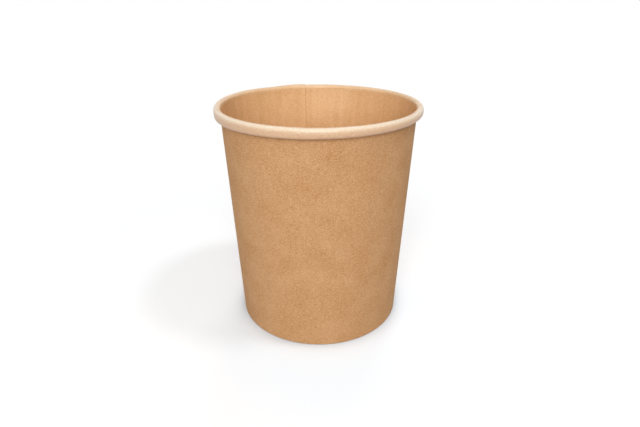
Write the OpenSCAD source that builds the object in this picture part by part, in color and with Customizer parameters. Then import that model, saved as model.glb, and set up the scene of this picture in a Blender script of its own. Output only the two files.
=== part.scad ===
// Paper soup cup of kraft board: one folded and rolled sidewall sheet with a glued lap seam,
// and a base disc whose skirt is held in the sidewall's hem.
// The origin is the centre of the foot on the plane the cup stands on, with +Z up.

/* [Cup] */
// Outer diameter of the rolled rim
rim_d = 117; // [108:0.5:130]
// Height from the stand plane to the top of the rim
cup_h = 131; // [80:0.5:180]
// Outer diameter of the wall at the foot
foot_d = 99.4; // [80:0.2:108]

/* [Board] */
// Thickness of the sidewall's board
wall_t = 0.4; // [0.3:0.05:0.6]
// Thickness of the base disc's board
disc_t = 0.4; // [0.3:0.05:0.6]
// Gap left between boards that are glued face to face
glue_gap = 0.03; // [0.01:0.01:0.08]

/* [Rolled rim] */
// Width of the roll, from the food side of the wall to the roll's outer side
roll_w = 3.85; // [3.2:0.05:5]
// Height of the roll
roll_h = 5.3; // [4.4:0.1:8]
// Length of the sheet's edge that is turned up inside the roll
roll_tuck = 1; // [0.3:0.1:1.5]
// Gap between the turned-up edge and the wall
roll_gap = 0.1; // [0.05:0.05:0.3]

/* [Foot] */
// Height of the base disc's underside above the stand plane
foot_recess = 8; // [5:0.5:16]
// Gap between the top edge of the hem and the base disc's underside
hem_gap = 1; // [0.8:0.1:2]
// Outer corner radius of the fold that the cup stands on
fold_r = 0.45; // [0.42:0.01:0.6]
// Inner radius of the bend between the base disc and its skirt
disc_bend_r = 0.4; // [0.2:0.1:0.7]

/* [Side seam] */
// Direction of the inner ply's free edge, anticlockwise from +X
seam_at = 99.4; // [0:0.2:360]
// Width of the lap, measured round the rim
lap_w = 7.6; // [4:0.2:14]
// Width of the fine groove at the inner ply's free edge
groove_w = 0.15; // [0.05:0.05:0.3]

/* [Hidden] */
$fn = 96;
kraft = [0.78, 0.60, 0.42];
// Height above the stand plane where the pressed foot lets the lap show
lap_foot = 1;
// Distance from the wall's food side at which the roll's extra ply begins
ply_inset = 0.1;

// Radii of the wall at the rim: its food side, and its outer side
rim_in_r = rim_d / 2 - roll_w;
rim_out_r = rim_in_r + wall_t;
foot_r = foot_d / 2;
// Heights of the roll's lower side, and of the top of the wall's straight part inside the roll
roll_y = cup_h - roll_h;
wall_top = cup_h - roll_w / 2;
wall_lean = (rim_out_r - foot_r) / (roll_y - fold_r);

// The roll's two bends, with the upper one's centre at roll_x and wall_top
roll_bend = roll_w / 2;
roll_x = rim_in_r + roll_bend;
tuck_bend = (roll_w - wall_t - roll_gap) / 2;
tuck_x = rim_d / 2 - tuck_bend;
tuck_y = roll_y + tuck_bend;

// Stack of boards in the foot, from the wall inwards: wall, skirt, hem
hem_in_r = foot_r - 2 * wall_t - disc_t - 2 * glue_gap;
hem_top = foot_recess - hem_gap;

// Angles round the cup, measured at the rim
lap_a = lap_w / rim_out_r * 180 / PI;
groove_a = groove_w / rim_out_r * 180 / PI;

// Shift outwards of anything parallel to the wall, at a height y
function lean_at(y) = (y - fold_r) * wall_lean;

// Half of a ring of board in section, with its open side down, or up when turned over
module half_ring(r, t) {
    intersection() {
        difference() {
            circle(r);
            circle(r - t);
        }
        translate([-r, 0]) square([2 * r, r]);
    }
}

// Quarter of a ring of board in section, in the quadrant right of and below its centre
module fold_corner(r, t) {
    intersection() {
        difference() {
            circle(r);
            if (r > t) circle(r - t);
        }
        translate([0, -r]) square(r);
    }
}

// Board that runs parallel to the wall, from height y0 to y1, with its outer face x at the foot
module leaning_board(x, t, y0, y1) {
    polygon([
        [x + lean_at(y0), y0],
        [x + lean_at(y1), y1],
        [x + lean_at(y1) - t, y1],
        [x + lean_at(y0) - t, y0]
    ]);
}

// Wall in section, up to the top of its straight part inside the roll
module wall_section() {
    leaning_board(foot_r, wall_t, fold_r, roll_y);
    translate([rim_in_r, roll_y]) square([wall_t, wall_top - roll_y]);
}

// Rolled rim in section: over the top, down the outer side, in, and up beside the wall
module roll_section() {
    translate([roll_x, wall_top]) half_ring(roll_bend, wall_t);
    translate([rim_d / 2 - wall_t, tuck_y]) square([wall_t, wall_top - tuck_y]);
    translate([tuck_x, tuck_y]) mirror([0, 1]) half_ring(tuck_bend, wall_t);
    translate([tuck_x - tuck_bend, tuck_y]) square([wall_t, roll_tuck]);
}

// Hem in section: the fold that the cup stands on, and the board turned up inside the skirt
module hem_section() {
    translate([foot_r - fold_r, fold_r]) fold_corner(fold_r, wall_t);
    translate([hem_in_r + fold_r, 0]) square([foot_r - hem_in_r - 2 * fold_r, wall_t]);
    translate([hem_in_r + fold_r, fold_r]) mirror([1, 0]) fold_corner(fold_r, wall_t);
    leaning_board(hem_in_r + wall_t, wall_t, fold_r, hem_top);
}

// Outer ply in section where it lies on the inner one, from the foot up into the roll.
// Its own thickness is outside the wall, and the other half board is let into the wall.
module outer_ply_section() {
    leaning_board(foot_r + wall_t, 1.5 * wall_t, lap_foot, roll_y);
    translate([rim_out_r - wall_t / 2, roll_y]) square([1.5 * wall_t, tuck_y - roll_y]);
}

// Inner ply in section where it lies on the outer one round the roll, let into it in the same
// way. It starts a little outside the wall's food side and ends at the roll's lowest point.
module rolled_ply_section() {
    board = 1.5 * wall_t;
    translate([roll_x, wall_top])
        intersection() {
            half_ring(roll_bend + wall_t, board);
            translate([ply_inset - roll_bend, 0]) square(2 * (roll_bend + wall_t));
        }
    translate([rim_d / 2 - wall_t / 2, tuck_y]) square([board, wall_top - tuck_y]);
    translate([tuck_x, tuck_y]) fold_corner(tuck_bend + wall_t, board);
}

// Section swept from one direction through an angle
module sweep(from, angle) {
    rotate([0, 0, from]) rotate_extrude(angle = angle) children();
}

// Groove in the food side of the wall where the inner ply ends and the outer ply shows
module ply_edge_groove() {
    sweep(seam_at, groove_a) {
        leaning_board(foot_r, 2 * wall_t, foot_recess + disc_t, roll_y);
        translate([rim_in_r - wall_t, roll_y]) square([2 * wall_t, wall_top - roll_y]);
    }
}

// Lap of the sheet's two ends: outside the wall the outer ply lies over the inner one, and
// round the roll, which turns the sheet over, the inner ply lies over the outer one
module lap_seam() {
    sweep(seam_at, lap_a) {
        outer_ply_section();
        rolled_ply_section();
    }
}

module sidewall() {
    color(kraft)
        difference() {
            union() {
                rotate_extrude() {
                    wall_section();
                    roll_section();
                    hem_section();
                }
                lap_seam();
            }
            ply_edge_groove();
        }
}

module base_disc() {
    bend = disc_bend_r + disc_t;
    bend_y = foot_recess + disc_t - bend;
    skirt_r = foot_r - wall_t - glue_gap;
    bend_x = skirt_r + lean_at(bend_y) - bend;
    color(kraft)
        rotate_extrude() {
            translate([0, foot_recess]) square([bend_x, disc_t]);
            translate([bend_x, bend_y]) mirror([0, 1]) fold_corner(bend, disc_t);
            leaning_board(skirt_r, disc_t, wall_t + glue_gap, bend_y);
        }
}

sidewall();
base_disc();
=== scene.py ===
import math
from collections import namedtuple

import bpy
from mathutils import Matrix, Vector


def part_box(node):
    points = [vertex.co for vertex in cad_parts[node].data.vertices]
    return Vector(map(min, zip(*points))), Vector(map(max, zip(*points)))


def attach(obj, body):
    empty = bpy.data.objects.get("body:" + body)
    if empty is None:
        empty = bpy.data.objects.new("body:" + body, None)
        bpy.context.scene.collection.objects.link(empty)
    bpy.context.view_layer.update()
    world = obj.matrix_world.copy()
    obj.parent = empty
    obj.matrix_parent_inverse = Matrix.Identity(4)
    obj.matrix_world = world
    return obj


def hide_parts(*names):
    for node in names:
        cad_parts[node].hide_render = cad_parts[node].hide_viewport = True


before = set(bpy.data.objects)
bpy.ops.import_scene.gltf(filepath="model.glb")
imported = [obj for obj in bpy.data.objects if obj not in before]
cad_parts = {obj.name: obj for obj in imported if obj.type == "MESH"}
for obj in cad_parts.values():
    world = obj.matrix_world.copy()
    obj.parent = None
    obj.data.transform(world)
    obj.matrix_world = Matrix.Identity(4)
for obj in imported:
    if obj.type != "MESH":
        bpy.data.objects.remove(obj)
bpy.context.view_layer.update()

MM = 0.001

# Board: its thickness, the gap between lapped plies, and the gap between wall, skirt and hem
BOARD = 0.4 * MM
PLY_GAP = 0.02 * MM
GLUE_GAP = 0.03 * MM

# Rolled rim: its width and height, the edge turned up inside it, and that edge's gap to the wall
ROLL_W = 3.85 * MM
ROLL_H = 5.3 * MM
ROLL_TUCK = 1.0 * MM
ROLL_GAP = 0.1 * MM

# Foot: the wall's radius, the fold under it, the base disc's height above the table, the hem's
# distance below the disc, the bend between disc and skirt, and the rise of the disc's middle
FOOT_R = 49.7 * MM
FOLD_R = 0.45 * MM
FOOT_RECESS = 8.0 * MM
HEM_GAP = 1.0 * MM
DISC_BEND = 0.4 * MM
DISC_CROWN = 0.3 * MM

# Side seam: the inner ply's free edge, the lap, and the widths in which each ply settles back
SEAM_AT = math.radians(99.4)
LAP_W = 7.6 * MM
WALL_EASE = 5.0 * MM
ROLL_EASE = 14.0 * MM
HEM_EASE = 1.5 * MM

# How far the formed cup strays from its drawn shape: flat and bulging sides of the back, a bulge
# and a rise with the directions in which they start, are full, fade and end, and the roll's droop
UNEVEN = 0.7 * MM
BULGE = 0.5 * MM
BULGE_FROM_TO = (115, 145, 155, 180)
RISE = 0.35 * MM
RISE_FROM_TO = (118, 148, 178, 205)
RISE_HEIGHTS = (0.6, 0.95)
DROOP = 0.15 * MM
DROOP_SWING = 0.7 * MM

# Heights between which the hem's pressing fades out of the wall, the height up to which the wall
# has a finer mesh, and how far below the wall's top the rolled rim's material starts
PRESSED_FADE = (0.5 * MM, 3 * MM)
FINE_TO = 4 * MM
ROLL_BELOW = 2 * MM

# Mesh: columns round the sheet and in each place where a ply settles, the least angle between
# two of them, rings and turns of the base disc, and steps of its bend and skirt
EVEN_COLUMNS = 288
FINE_COLUMNS = 12
LEAST_ANGLE = 0.0012
DISC_RINGS = 12
DISC_TURNS = 180
BEND_STEPS = 6
SKIRT_STEPS = 4
SHARP_ANGLE = math.radians(50)

# Material slots of a piece
FOOD, OUT, CUT, ROLLED = range(4)

# Rim and wall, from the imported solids, and a little inside their box
MARGIN = 0.025 * MM
low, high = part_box("sidewall")
RIM_R = high[0] - MARGIN
CUP_H = high[2] - BOARD - MARGIN
WALL_IN_R = RIM_R - ROLL_W
WALL_OUT_R = WALL_IN_R + BOARD
ROLL_Y = CUP_H - ROLL_H
ROLL_BEND = ROLL_W / 2
WALL_TOP = CUP_H - ROLL_BEND
TUCK_BEND = (ROLL_W - BOARD - ROLL_GAP) / 2
TUCK_Y = ROLL_Y + TUCK_BEND
HEM_IN_R = FOOT_R - 3 * BOARD - 2 * GLUE_GAP
HEM_TOP = FOOT_RECESS - HEM_GAP
LEAN = (WALL_OUT_R - FOOT_R) / (ROLL_Y - FOLD_R)
LAP = LAP_W / WALL_OUT_R
ROUND_WALL = 2 * math.pi * WALL_OUT_R

# Place in the sheet's section: a point, its normal towards the food side, how far it is in the
# hem, how far the roll has turned the plies over, whether the lap pushes it outwards, its length
# along the sheet, and how far it hangs in the roll's outer side
Station = namedtuple("Station", "x y nx ny in_hem turned pushed length hanging")


def smooth(x, low_end, high_end):
    """0 below low_end, 1 above high_end, and a smooth rise between."""
    t = min(max((x - low_end) / (high_end - low_end), 0.0), 1.0)
    return t * t * (3 - 2 * t)


def lean_at(y):
    """Shift outwards of anything parallel to the wall, at a height y."""
    return (y - FOLD_R) * LEAN


def line(start, end, steps, first=0):
    """Points along a straight stretch of a section, with their normals to the left."""
    dx, dy = end[0] - start[0], end[1] - start[1]
    length = math.hypot(dx, dy)
    for i in range(first, steps + 1):
        t = i / steps
        yield start[0] + dx * t, start[1] + dy * t, -dy / length, dx / length


def arc(centre, radius, start, end, steps, first=0):
    """Points along a round stretch of a section, in degrees, with their normals to the left."""
    side = -1 if end > start else 1
    for i in range(first, steps + 1):
        a = math.radians(start + (end - start) * i / steps)
        c, s = math.cos(a), math.sin(a)
        yield centre[0] + radius * c, centre[1] + radius * s, side * c, side * s


def sidewall_section():
    """Middle of the sheet in section, from the hem's cut edge to the edge inside the roll.

    Each stretch ends with its number of steps, and with the first of them that it adds.
    """
    half = BOARD / 2
    fold = FOLD_R - half
    hem_x = HEM_IN_R + half
    wall_x = FOOT_R - half
    upright_x = WALL_IN_R + half
    roll_x = WALL_IN_R + ROLL_BEND
    tuck_x = RIM_R - TUCK_BEND
    edge_x = tuck_x - TUCK_BEND + half
    stretches = [
        ("hem", line((hem_x + lean_at(HEM_TOP), HEM_TOP), (hem_x, FOLD_R), 5)),
        ("hem", arc((HEM_IN_R + FOLD_R, FOLD_R), fold, 180, 270, 4, 1)),
        ("hem", line((HEM_IN_R + FOLD_R, half), (FOOT_R - FOLD_R, half), 1, 1)),
        ("hem", arc((FOOT_R - FOLD_R, FOLD_R), fold, 270, 360, 4, 1)),
        ("wall", line((wall_x, FOLD_R), (wall_x + lean_at(FINE_TO), FINE_TO), 6, 1)),
        ("wall", line((wall_x + lean_at(FINE_TO), FINE_TO), (upright_x, ROLL_Y), 26, 1)),
        ("wall", line((upright_x, ROLL_Y), (upright_x, WALL_TOP), 4, 1)),
        ("over", arc((roll_x, WALL_TOP), ROLL_BEND - half, 180, 0, 18, 1)),
        ("over", line((RIM_R - half, WALL_TOP), (RIM_R - half, TUCK_Y), 3, 1)),
        ("under", arc((tuck_x, TUCK_Y), TUCK_BEND - half, 0, -180, 14, 1)),
        ("under", line((edge_x, TUCK_Y), (edge_x, TUCK_Y + ROLL_TUCK), 2, 1)),
    ]
    stations = []
    length = 0.0
    for zone, points in stretches:
        for x, y, nx, ny in points:
            if stations:
                length += math.hypot(x - stations[-1].x, y - stations[-1].y)
            in_hem = 1.0
            if zone != "hem":
                in_hem = 1 - smooth(y, *PRESSED_FADE)
            turned = 0.0
            if zone == "over":
                turned = smooth(x, upright_x, roll_x)
            pushed = 1.0 if zone == "under" else 0.0
            hanging = pushed
            if zone == "over" and x >= roll_x and y < WALL_TOP:
                hanging = (WALL_TOP - y) / (WALL_TOP - TUCK_Y)
            stations.append(Station(x, y, nx, ny, in_hem, turned, pushed, length, hanging))
    return stations


# Length along the sheet, from the hem's cut edge, at which the rolled rim's material starts
ROLL_START = next(st.length for st in sidewall_section() if st.y >= WALL_TOP - ROLL_BELOW)


def columns():
    """Angles of the sheet from the inner ply's free edge, once round and on over the lap."""
    whole = 2 * math.pi + LAP
    angles = [whole * i / EVEN_COLUMNS for i in range(EVEN_COLUMNS + 1)]
    for edge, width in ((LAP, ROLL_EASE), (2 * math.pi, -WALL_EASE), (LAP, HEM_EASE),
                        (2 * math.pi, -HEM_EASE)):
        reach = width / WALL_OUT_R
        angles += [edge + reach * i / FINE_COLUMNS for i in range(FINE_COLUMNS + 1)]
    angles.sort()
    kept = [angles[0]]
    for a in angles[1:]:
        if a - kept[-1] > LEAST_ANGLE:
            kept.append(a)
    kept[-1] = whole
    return kept


def between(theta, start, full, fade, end):
    """1 from the direction full to fade, 0 outside start and end, all in degrees."""
    a = math.degrees(theta) % 360
    return smooth(a, start, full) * (1 - smooth(a, fade, end))


def unevenness(theta, y, hanging):
    """How far a point strays outwards and upwards: a formed cup is a little out of round.

    It bulges at the left of the back and is flatter at the right, and stays round in front.
    The rim rises a little at the left of the back, and the roll hangs lower at the left.
    """
    up = max(y, 0.0) / CUP_H
    at_back = max(math.sin(theta), 0.0)
    out = -UNEVEN * math.sin(2 * theta) * at_back * at_back
    out += BULGE * between(theta, *BULGE_FROM_TO)
    start, full = (share * CUP_H for share in RISE_HEIGHTS)
    rise = RISE * between(theta, *RISE_FROM_TO) * smooth(y, start, full)
    rise -= hanging * (DROOP - DROOP_SWING * math.cos(theta))
    return out * up * up, rise


def sheet_sides(angle, station):
    """Offsets of the food face and the outer face from the sheet's middle, and the push outwards.

    Where the ends lap, the outer ply is pushed out by a board on the wall, and the inner ply is
    lifted by a board round the roll. In the hem both are pressed to half their thickness.
    """
    whole = 2 * math.pi
    inner = 1 - smooth(angle, LAP, LAP + ROLL_EASE / WALL_OUT_R)
    outer = smooth(angle, whole - WALL_EASE / WALL_OUT_R, whole)
    inner_hem = 1 - smooth(angle, LAP, LAP + HEM_EASE / WALL_OUT_R)
    outer_hem = smooth(angle, whole - HEM_EASE / WALL_OUT_R, whole)
    step = BOARD + PLY_GAP
    food = BOARD / 2
    back = -BOARD / 2
    if angle < math.pi:
        lift = inner * station.turned * step
        food += lift
        back += lift + inner_hem * station.in_hem * step / 2
        push = inner * station.pushed * step
    else:
        drop = outer * (1 - station.turned) * (1 - station.in_hem) * step
        food -= drop + outer_hem * station.in_hem * step / 2
        back -= drop
        push = outer * station.pushed * step
    return food, back, push


def mesh_piece(name, verts, faces, slots, sheet_at, materials):
    """Object from vertices and faces, smooth except at its cut edges, with sheet coordinates."""
    mesh = bpy.data.meshes.new(name)
    mesh.from_pydata(verts, [], faces)
    for m in materials:
        mesh.materials.append(m)
    mesh.polygons.foreach_set("material_index", slots)
    mesh.polygons.foreach_set("use_smooth", [True] * len(faces))
    layer = mesh.attributes.new("sheet", "FLOAT_VECTOR", "POINT")
    layer.data.foreach_set("vector", [c for point in sheet_at for c in point])
    mesh.update()
    mesh.set_sharp_from_angle(angle=SHARP_ANGLE)
    mesh.validate()
    piece = bpy.data.objects.new(name, mesh)
    bpy.context.scene.collection.objects.link(piece)
    return piece


def build_sidewall(materials):
    """The sidewall's sheet, with its thickness, its four cut edges and its lap."""
    stations = sidewall_section()
    angles = columns()
    rows = len(stations)
    verts = []
    sheet_at = []
    for side in (0, 1):
        for angle in angles:
            theta = SEAM_AT + angle
            c, s = math.cos(theta), math.sin(theta)
            for st in stations:
                food, back, push = sheet_sides(angle, st)
                off = back if side else food
                r = st.x + st.nx * off + push
                y = st.y + st.ny * off
                out, rise = unevenness(theta, y, st.hanging)
                r += out
                verts.append((r * c, r * s, y + rise))
                sheet_at.append((angle * WALL_OUT_R, st.length, 0.0))
    count = len(angles) * rows
    faces = []
    slots = []

    def at(side, column, row):
        return side * count + column * rows + row

    for j in range(len(angles) - 1):
        for k in range(rows - 1):
            faces.append((at(0, j, k), at(0, j, k + 1), at(0, j + 1, k + 1), at(0, j + 1, k)))
            faces.append((at(1, j, k), at(1, j + 1, k), at(1, j + 1, k + 1), at(1, j, k + 1)))
            slots += [ROLLED if stations[k].length > ROLL_START else FOOD, OUT]
        last = rows - 1
        faces.append((at(0, j, 0), at(0, j + 1, 0), at(1, j + 1, 0), at(1, j, 0)))
        faces.append((at(0, j, last), at(1, j, last), at(1, j + 1, last), at(0, j + 1, last)))
        slots += [CUT, CUT]
    end = len(angles) - 1
    for k in range(rows - 1):
        faces.append((at(0, 0, k), at(1, 0, k), at(1, 0, k + 1), at(0, 0, k + 1)))
        faces.append((at(0, end, k), at(0, end, k + 1), at(1, end, k + 1), at(1, end, k)))
        slots += [CUT, CUT]
    return mesh_piece("sidewall_sheet", verts, faces, slots, sheet_at, materials)


def disc_section():
    """Upper and lower side of the base disc in section, from its middle to the skirt's edge."""
    bend = DISC_BEND + BOARD
    bend_y = FOOT_RECESS + BOARD - bend
    skirt = FOOT_R - BOARD - GLUE_GAP
    bend_x = skirt + lean_at(bend_y) - bend
    skirt_low = BOARD + GLUE_GAP
    top = []
    under = []
    for i in range(DISC_RINGS + 1):
        x = bend_x * i / DISC_RINGS
        lift = DISC_CROWN * (1 - smooth(x, 0.0, bend_x))
        top.append((x, FOOT_RECESS + BOARD + lift))
        under.append((x, FOOT_RECESS + lift))
    outer = []
    inner = []
    for i in range(1, BEND_STEPS + 1):
        a = math.radians(90 - 90 * i / BEND_STEPS)
        outer.append((bend_x + bend * math.cos(a), bend_y + bend * math.sin(a)))
        inner.append((bend_x + DISC_BEND * math.cos(a), bend_y + DISC_BEND * math.sin(a)))
    for i in range(1, SKIRT_STEPS + 1):
        y = bend_y + (skirt_low - bend_y) * i / SKIRT_STEPS
        outer.append((skirt + lean_at(y), y))
        inner.append((skirt + lean_at(y) - BOARD, y))
    return top + outer, under + inner


def build_disc(materials):
    """The base disc with its skirt, as a shell turned round the axis and closed at the middle."""
    top, under = disc_section()
    verts = []
    sheet_at = []
    for points in (top, under):
        verts.append((0.0, 0.0, points[0][1]))
        sheet_at.append((0.0, 0.0, 0.0))
        for i in range(DISC_TURNS):
            a = 2 * math.pi * i / DISC_TURNS
            for x, y in points[1:]:
                verts.append((x * math.cos(a), x * math.sin(a), y))
                sheet_at.append((x * math.cos(a), x * math.sin(a), 0.0))
    rows = len(top) - 1
    count = 1 + DISC_TURNS * rows

    def at(side, turn, row):
        return side * count + 1 + (turn % DISC_TURNS) * rows + row

    faces = []
    slots = []
    for i in range(DISC_TURNS):
        faces.append((0, at(0, i, 0), at(0, i + 1, 0)))
        faces.append((count, at(1, i + 1, 0), at(1, i, 0)))
        slots += [FOOD, OUT]
        for k in range(rows - 1):
            faces.append((at(0, i, k), at(0, i, k + 1), at(0, i + 1, k + 1), at(0, i + 1, k)))
            faces.append((at(1, i, k), at(1, i + 1, k), at(1, i + 1, k + 1), at(1, i, k + 1)))
            slots += [FOOD, OUT]
        last = rows - 1
        faces.append((at(0, i, last), at(1, i, last), at(1, i + 1, last), at(0, i + 1, last)))
        slots.append(CUT)
    return mesh_piece("base_disc_board", verts, faces, slots, sheet_at, materials)


def linear(red, green, blue):
    """Scene colour of a colour given as it looks, 0 to 255."""
    def one(v):
        v /= 255
        return v / 12.92 if v <= 0.04045 else ((v + 0.055) / 1.055) ** 2.4
    return one(red), one(green), one(blue), 1.0


class Nodes:
    """Short way to add nodes to a material or world and link them."""

    def __init__(self, tree):
        self.tree = tree
        tree.nodes.clear()

    def add(self, kind, inputs=None, **settings):
        """New node; an input is linked where it is given a socket, and set otherwise."""
        n = self.tree.nodes.new(kind)
        for key, value in settings.items():
            setattr(n, key, value)
        for key, value in (inputs or {}).items():
            if isinstance(value, bpy.types.NodeSocket):
                self.tree.links.new(value, n.inputs[key])
            else:
                n.inputs[key].default_value = value
        return n

    def math(self, operation, a, b=0.0):
        """Result of one operation on two values."""
        return self.add("ShaderNodeMath", {0: a, 1: b}, operation=operation).outputs[0]

    def noise(self, vector, scale, detail, roughness=0.5):
        """Noise from 0 to 1."""
        n = self.add("ShaderNodeTexNoise", {"Vector": vector, "Scale": scale, "Detail": detail,
                                            "Roughness": roughness})
        return n.outputs[0]

    def stretch(self, vector, scale, turn=0.0):
        """Vector scaled along each axis and turned about the third."""
        n = self.add("ShaderNodeMapping", {"Vector": vector, "Scale": scale,
                                           "Rotation": (0.0, 0.0, turn)})
        return n.outputs["Vector"]

    def ramp(self, value, from_min, from_max, to_min=0.0, to_max=1.0, kind="SMOOTHSTEP"):
        """Value that goes smoothly from one amount to another as the given one does."""
        n = self.add("ShaderNodeMapRange", {"Value": value, "From Min": from_min,
                                            "From Max": from_max, "To Min": to_min,
                                            "To Max": to_max}, interpolation_type=kind)
        return n.outputs["Result"]

    def around(self, value, share):
        """A texture's value as a swing round 0."""
        return self.math("MULTIPLY", self.math("SUBTRACT", value, 0.5), share)

    def gradient(self, value, stops):
        """Colour by a length, from pairs of a length and a colour as it looks."""
        first, last = stops[0][0], stops[-1][0]
        n = self.add("ShaderNodeValToRGB", {0: self.ramp(value, first, last, kind="LINEAR")})
        elements = n.color_ramp.elements
        for i, (length, colour) in enumerate(stops):
            place = (length - first) / (last - first)
            e = elements[i] if i < 2 else elements.new(place)
            e.position = place
            e.color = linear(*colour)
        return n.outputs[0]

    def tinted(self, colour, swing, shares):
        """Colour made lighter and darker by a swing, with its own share for each channel."""
        factor = self.add("ShaderNodeVectorMath", {0: swing, 1: shares, 2: (1.0, 1.0, 1.0)},
                          operation="MULTIPLY_ADD").outputs[0]
        if not isinstance(colour, bpy.types.NodeSocket):
            colour = colour[:3]
        return self.add("ShaderNodeVectorMath", {0: colour, 1: factor},
                        operation="MULTIPLY").outputs[0]


# Share of red, green and blue in the swing of kraft board between its pale and its dark fibres
KRAFT_SWING = (0.68, 1.15, 1.9)
# Textures: scales in space and, for fibres and streaks, on the sheet, with the fibres' two turns;
# and the specks' edge and the amount above which a cell has one
GRAIN_SCALE = 1500.0
LINED_GRAIN_SCALE = 1000.0
GRAIN_ROUGHNESS = 0.6
MOTTLE_SCALE = 75.0
FIBRE_SCALE = (420.0, 2600.0, 1.0)
FIBRE_TURN = 0.5
CROSSING_TURN = -0.7
STREAK_SCALE = (230.0, 9.0, 1.0)
SPECK_SCALE = 210.0
SPECK_EDGE = (0.11, 0.05)
SPECK_ABOVE = 0.9
# Their shares in the swing, and what the lining leaves of fibres and mottling
GRAIN_SHARE = 1.02
LINED_GRAIN_SHARE = 0.5
FIBRE_SHARE = 0.3
MOTTLE_SHARE = 0.32
LINED_SHARE = 0.6
SPECK_SHARE = 0.25
STREAK_SHARE = 0.3
# Rolled rim: what is left of the swing where it starts and on its crest, and how far the borders
# of its colours wander
ROLL_SHARES = (0.7, 0.42)
ROLL_WANDER = 1.5 * MM
# Lap: width of the line beside a free edge, and the shares of the dark line of glue and painted
# shade in its corner, of the painted highlight on the pressed edge and of the painted shade
# outside
EDGE_LINE = 0.9 * MM
GLUE_AND_SHADE_SHARE = 0.26
EDGE_HIGHLIGHT_SHARE = 0.06
SHADE_SHARE = 0.3
# Painted sheen, a paler patch under the rim beside that edge: its distance from the edge, the
# distances from its middle in which it fades, those from the rim, and its share
SHEEN_PATCH_AT = 18.4 * MM
SHEEN_PATCH_FADE = (3 * MM, 19 * MM)
SHEEN_PATCH_DEPTH = (26 * MM, 3 * MM)
SHEEN_PATCH_SHARE = 0.12
# Pressed ribs of the hem: their spacing, the lengths along the sheet in which they end, and
# their height beside the grain's
RIB_STEP = 1.5 * MM
RIB_END = (5.5 * MM, 7 * MM)
RIB_HEIGHT = 2.5
# Relief: shares of grain and fibres, its depth, and its strength on the board and on the rim
GRAIN_RELIEF = 0.6
FIBRE_RELIEF = 0.4
RELIEF_DEPTH = 0.03 * MM
RELIEF = 0.5
ROLL_RELIEF = 0.2


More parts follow.
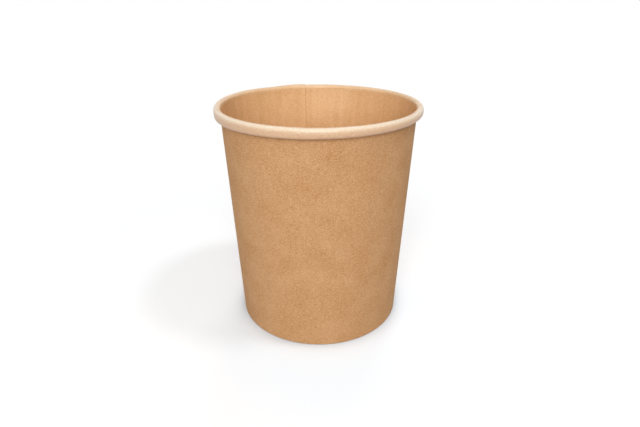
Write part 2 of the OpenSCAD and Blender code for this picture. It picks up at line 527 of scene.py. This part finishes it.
def board_material(name, colour, roughness, specular, roll=None, lined=False, knurl=False):
    """Kraft board: fine grain, short fibres, soft mottling and a few dark specks.

    roll gives the lengths along the sheet and the colours that they have round the rolled rim,
    paler round its crest as a painted highlight and darker towards its underside. lined is for
    the food side: its lining softens the grain, shows faint streaks up the wall and marks the
    lap's edge with a dark line of glue and painted shade and a painted highlight on the free edge,
    with a paler patch beside it, a painted sheen. knurl is for the outside: it marks the lap's
    edge there with painted shade and adds the pressed ribs of the hem.
    """
    material = bpy.data.materials.new(name)
    material.use_nodes = True
    n = Nodes(material.node_tree)
    place = n.add("ShaderNodeTexCoord").outputs["Object"]
    sheet = n.add("ShaderNodeAttribute", attribute_name="sheet").outputs["Vector"]
    way = n.add("ShaderNodeSeparateXYZ", {"Vector": sheet})
    across = way.outputs["X"]
    along = way.outputs["Y"]
    grain = n.noise(place, LINED_GRAIN_SCALE if lined else GRAIN_SCALE, 2.0, GRAIN_ROUGHNESS)
    fibres = n.noise(n.stretch(sheet, FIBRE_SCALE, FIBRE_TURN), 1.0, 2.0)
    crossing = n.noise(n.stretch(sheet, FIBRE_SCALE, CROSSING_TURN), 1.0, 2.0)
    mottle = n.noise(place, MOTTLE_SCALE, 3.0)
    specks = n.add("ShaderNodeTexVoronoi", {"Vector": place, "Scale": SPECK_SCALE})
    chance = n.add("ShaderNodeSeparateColor", {"Color": specks.outputs["Color"]}).outputs["Red"]
    chosen = n.math("GREATER_THAN", chance, SPECK_ABOVE)
    speck = n.math("MULTIPLY", chosen, n.ramp(specks.outputs["Distance"], *SPECK_EDGE))

    swing = n.around(grain, LINED_GRAIN_SHARE if lined else GRAIN_SHARE)
    left = LINED_SHARE if lined else 1.0
    for part, share in ((fibres, FIBRE_SHARE), (crossing, FIBRE_SHARE), (mottle, MOTTLE_SHARE)):
        swing = n.math("ADD", swing, n.around(part, share * left))
    swing = n.math("SUBTRACT", swing, n.math("MULTIPLY", speck, SPECK_SHARE))
    ground = linear(*colour)
    # The rolled rim's colours: paler round its crest, a painted highlight, and darker towards its
    # underside
    if roll:
        wandering = n.math("ADD", along, n.around(mottle, ROLL_WANDER))
        ground = n.gradient(wandering, roll)
        calm = n.ramp(wandering, roll[0][0], roll[2][0], *ROLL_SHARES)
        swing = n.math("MULTIPLY", swing, calm)
    if lined:
        streaks = n.noise(n.stretch(sheet, STREAK_SCALE), 1.0, 3.0)
        swing = n.math("ADD", swing, n.around(streaks, STREAK_SHARE))
        # Dark line beside the free edge: glue, and painted shade in the corner by the step
        glue_and_shade = n.ramp(across, ROUND_WALL - EDGE_LINE, ROUND_WALL)
        swing = n.math("SUBTRACT", swing, n.math("MULTIPLY", glue_and_shade, GLUE_AND_SHADE_SHARE))
        # Painted highlight along the inner ply's pressed free edge
        edge_highlight = n.ramp(across, 0.0, 3 * EDGE_LINE, EDGE_HIGHLIGHT_SHARE, 0.0)
        swing = n.math("ADD", swing, edge_highlight)
        # Painted sheen: a paler patch under the rim, beside the lap's edge
        beside = n.math("ABSOLUTE", n.math("SUBTRACT", across, ROUND_WALL - SHEEN_PATCH_AT))
        under_rim = n.ramp(along, *(ROLL_START - depth for depth in SHEEN_PATCH_DEPTH))
        painted_sheen = n.math("MULTIPLY", n.ramp(beside, *SHEEN_PATCH_FADE, 1.0, 0.0), under_rim)
        swing = n.math("ADD", swing, n.math("MULTIPLY", painted_sheen, SHEEN_PATCH_SHARE))
    height = n.math("ADD", n.math("MULTIPLY", grain, GRAIN_RELIEF),
                    n.math("MULTIPLY", fibres, FIBRE_RELIEF))
    if knurl:
        past_lap = n.ramp(across, LAP_W, LAP_W + EDGE_LINE, 1.0, 0.0)
        covered = n.math("LESS_THAN", across, LAP_W)
        shade = n.math("MULTIPLY", past_lap, n.math("SUBTRACT", 1.0, covered))
        swing = n.math("SUBTRACT", swing, n.math("MULTIPLY", shade, SHADE_SHARE))
        rib = n.math("SINE", n.math("MULTIPLY", across, 2 * math.pi / RIB_STEP))
        ribs = n.math("MULTIPLY", rib, n.ramp(along, *RIB_END, 1.0, 0.0))
        height = n.math("ADD", height, n.math("MULTIPLY", ribs, RIB_HEIGHT))
    strength = ROLL_RELIEF if roll else RELIEF
    bump = n.add("ShaderNodeBump", {"Height": height, "Strength": strength,
                                    "Distance": RELIEF_DEPTH}).outputs["Normal"]
    shader = n.add("ShaderNodeBsdfPrincipled", {
        "Base Color": n.tinted(ground, swing, KRAFT_SWING),
        "Roughness": roughness,
        "Specular IOR Level": specular,
        "Normal": bump,
    })
    n.add("ShaderNodeOutputMaterial", {"Surface": shader.outputs[0]})
    return material


WHITE = (1.0, 1.0, 1.0, 1.0)
# The world's strength as a source of light
WORLD_LIGHT = 0.25
# Floor: half its side, its distance below the foot, the distances from the axis between which it
# turns plain white, and its colour as a source of light
FLOOR_REACH = 15.0
FLOOR_DROP = 0.02 * MM
FAR_WHITE = (0.14, 0.26)
UNSEEN_FLOOR = (0.4, 0.4, 0.4, 1.0)
# Floor's own light to the camera, which with its lit colour brings it up to just over white
FLOOR_GLOW = 0.2
# Floor's colour, and its colour in front of the cup, a little cool against the warm light that
# the lit board throws on it, with the place and the reach of that; and how far and how strongly
# the foot darkens the corner between board and floor
FLOOR_COLOUR = (0.94, 0.95, 0.96)
COOLED_COLOUR = (0.87, 0.94, 1.0)
COOLED_AT = (10 * MM, -30 * MM, 0.0)
COOLED_TO = (50 * MM, 95 * MM)
CORNER = 12 * MM
CORNER_SHADE = 1.0


def see_white(n, seen, unseen):
    """Shader that is one thing to the camera and in reflections, and another as a light source."""
    path = n.add("ShaderNodeLightPath")
    direct = n.math("MAXIMUM", path.outputs["Is Camera Ray"], path.outputs["Is Glossy Ray"])
    direct = n.math("MAXIMUM", direct, path.outputs["Is Transmission Ray"])
    return n.add("ShaderNodeMixShader", {0: direct, 1: unseen, 2: seen}).outputs[0]


def build_floor():
    """Plain white floor that keeps a soft, pale shadow of the cup and is bright further out."""
    far = FLOOR_REACH
    z = low[2] - FLOOR_DROP
    corners = [(-far, -far, z), (far, -far, z), (far, far, z), (-far, far, z)]
    mesh = bpy.data.meshes.new("floor")
    mesh.from_pydata(corners, [], [(0, 1, 2, 3)])
    floor = bpy.data.objects.new("floor", mesh)
    bpy.context.scene.collection.objects.link(floor)
    material = bpy.data.materials.new("floor")
    material.use_nodes = True
    n = Nodes(material.node_tree)
    place = n.add("ShaderNodeTexCoord").outputs["Object"]
    away = n.add("ShaderNodeVectorMath", {0: place}, operation="LENGTH").outputs["Value"]
    corner = n.add("ShaderNodeAmbientOcclusion", {"Distance": CORNER}, samples=4).outputs["AO"]
    hidden = n.math("SUBTRACT", 1.0, corner)
    shade = n.math("MULTIPLY", n.math("MULTIPLY", hidden, hidden), CORNER_SHADE)
    open_share = n.math("SUBTRACT", 1.0, shade)
    reach = n.add("ShaderNodeVectorMath", {0: place, 1: COOLED_AT},
                  operation="DISTANCE").outputs["Value"]
    cooled = n.add("ShaderNodeMix", {0: n.ramp(reach, *COOLED_TO), 4: COOLED_COLOUR,
                                     5: FLOOR_COLOUR}, data_type="VECTOR").outputs[1]
    tone = n.add("ShaderNodeVectorMath", {0: cooled, "Scale": open_share},
                 operation="SCALE").outputs["Vector"]
    shaded = n.add("ShaderNodeBsdfDiffuse", {"Color": tone})
    glow_level = n.math("MULTIPLY", open_share, FLOOR_GLOW)
    glow = n.add("ShaderNodeEmission", {"Color": WHITE, "Strength": glow_level})
    near = n.add("ShaderNodeAddShader", {0: shaded.outputs[0], 1: glow.outputs[0]})
    beyond = n.add("ShaderNodeEmission", {"Color": WHITE, "Strength": 1.0})
    seen = n.add("ShaderNodeMixShader", {0: n.ramp(away, *FAR_WHITE), 1: near.outputs[0],
                                         2: beyond.outputs[0]})
    unseen = n.add("ShaderNodeBsdfDiffuse", {"Color": UNSEEN_FLOOR})
    both = see_white(n, seen.outputs[0], unseen.outputs[0])
    n.add("ShaderNodeOutputMaterial", {"Surface": both})
    mesh.materials.append(material)


def build_world():
    """White surroundings: full white to the camera, and softer as a source of light."""
    world = bpy.data.worlds.new("studio")
    world.use_nodes = True
    bpy.context.scene.world = world
    n = Nodes(world.node_tree)
    seen = n.add("ShaderNodeBackground", {"Color": WHITE, "Strength": 1.0})
    light = n.add("ShaderNodeBackground", {"Color": WHITE, "Strength": WORLD_LIGHT})
    both = see_white(n, seen.outputs[0], light.outputs[0])
    n.add("ShaderNodeOutputWorld", {"Surface": both})


def build_light(name, place, aim, size, watts, mirrored=True):
    """Square soft box, which shiny surfaces mirror or not."""
    lamp = bpy.data.lights.new(name, "AREA")
    lamp.shape = "SQUARE"
    lamp.size = size
    lamp.energy = watts
    box = bpy.data.objects.new(name, lamp)
    bpy.context.scene.collection.objects.link(box)
    box.location = place
    box.visible_glossy = mirrored
    box.rotation_euler = (Vector(aim) - Vector(place)).to_track_quat("-Z", "Y").to_euler()


# Camera, fitted to the photograph's outlines: its height angle, its distance from a point on the
# axis and that point's height, its focal length and the image's width in pixels, its sensor's
# width in millimetres, its small turns in degrees, and the nearest that it sees
ELEVATION = math.radians(24.2)
DISTANCE = 296.9 * MM
AIM_HEIGHT = 65.6 * MM
FOCAL_PIXELS = 477.1
IMAGE_WIDTH = 640
SENSOR_WIDTH = 36.0
TILT_PAN_ROLL = (-0.70, 0.11, -0.28)
CLIP_START = 0.01


def build_camera():
    """Camera at the photograph's height, distance and lens, turned a little off the cup."""
    tilt, pan, roll = (math.radians(a) for a in TILT_PAN_ROLL)
    forward = Vector((0.0, math.cos(ELEVATION), -math.sin(ELEVATION)))
    right = Vector((1.0, 0.0, 0.0))
    place = Vector((0.0, 0.0, AIM_HEIGHT)) - forward * DISTANCE
    up = right.cross(forward)
    turned = Matrix((right, up, -forward)).transposed()
    turned = turned @ Matrix.Rotation(tilt, 3, "X")
    turned = turned @ Matrix.Rotation(-pan, 3, "Y")
    turned = turned @ Matrix.Rotation(roll, 3, "Z")
    data = bpy.data.cameras.new("camera")
    data.sensor_fit = "HORIZONTAL"
    data.sensor_width = SENSOR_WIDTH
    data.lens = FOCAL_PIXELS / IMAGE_WIDTH * SENSOR_WIDTH
    data.clip_start = CLIP_START
    camera = bpy.data.objects.new("camera", data)
    bpy.context.scene.collection.objects.link(camera)
    camera.matrix_world = Matrix.Translation(place) @ turned.to_4x4()
    bpy.context.scene.camera = camera


# Colours of the board as they look, and those of the rolled rim by the length past its start,
# paler round its crest as a painted highlight and darker towards its underside
OUTSIDE_COLOUR = (209, 159, 111)
LINED_COLOUR = (230, 185, 134)
INSIDE_COLOUR = (231, 189, 141)
CUT_COLOUR = (214, 172, 130)
UNDER_COLOUR = (204, 155, 110)
ROLL_COLOURS_AND_HIGHLIGHT = (
    (0.0, INSIDE_COLOUR),
    (2.0, (231, 190, 143)),
    (3.2, (234, 198, 159)),
    (4.6, (234, 203, 170)),
    (5.4, (242, 225, 201)),
    (6.2, (239, 214, 185)),
    (7.2, (230, 195, 160)),
    (8.2, (224, 184, 148)),
    (10.6, (221, 179, 144)),
    (12.5, (212, 168, 130)),
)
roll_colours_and_highlight = [(ROLL_START + past * MM, colour) for past, colour in ROLL_COLOURS_AND_HIGHLIGHT]

# Each material's colour, roughness and specular level
outside = board_material("kraft_outside", OUTSIDE_COLOUR, 0.75, 0.25, knurl=True)
food_side = board_material("kraft_food_side", LINED_COLOUR, 0.6, 0.5, lined=True)
rolled_rim = board_material("kraft_rolled_rim_painted_highlight", INSIDE_COLOUR, 0.33, 0.45, roll=roll_colours_and_highlight)
cut_edge = board_material("kraft_cut_edge", CUT_COLOUR, 0.9, 0.2)
base_top = board_material("kraft_base_top", INSIDE_COLOUR, 0.55, 0.12)
base_under = board_material("kraft_base_under", UNDER_COLOUR, 0.75, 0.3)

sidewall_sheet = build_sidewall([food_side, outside, cut_edge, rolled_rim])
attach(sidewall_sheet, "root")
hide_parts("sidewall")

base_disc_board = build_disc([base_top, base_under, cut_edge])
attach(base_disc_board, "root")
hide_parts("base_disc")

# Points that the lamps aim at: the wall, and the top of the cup
WALL_AIM = (0.0, 0.0, 0.06)
TOP_AIM = (0.0, 0.0, 0.1)

build_floor()
build_world()
# Each lamp's place, aim, side length and strength in watts
build_light("key", (-0.08, -1.45, 0.75), WALL_AIM, 0.9, 13.6)
build_light("front", (-0.05, -1.17, 1.15), WALL_AIM, 1.0, 4.9)
build_light("left", (-1.3, -1.0, 0.6), WALL_AIM, 0.8, 2.2)
build_light("high", (0.58, -0.15, 1.4), TOP_AIM, 0.22, 3.8, mirrored=False)
build_light("top", (0.0, 0.35, 1.6), WALL_AIM, 1.0, 1.2, mirrored=False)
build_light("rear", (0.3, 1.5, 0.7), WALL_AIM, 0.8, 8.0, mirrored=False)
build_camera()

bpy.context.scene.view_settings.view_transform = "Standard"
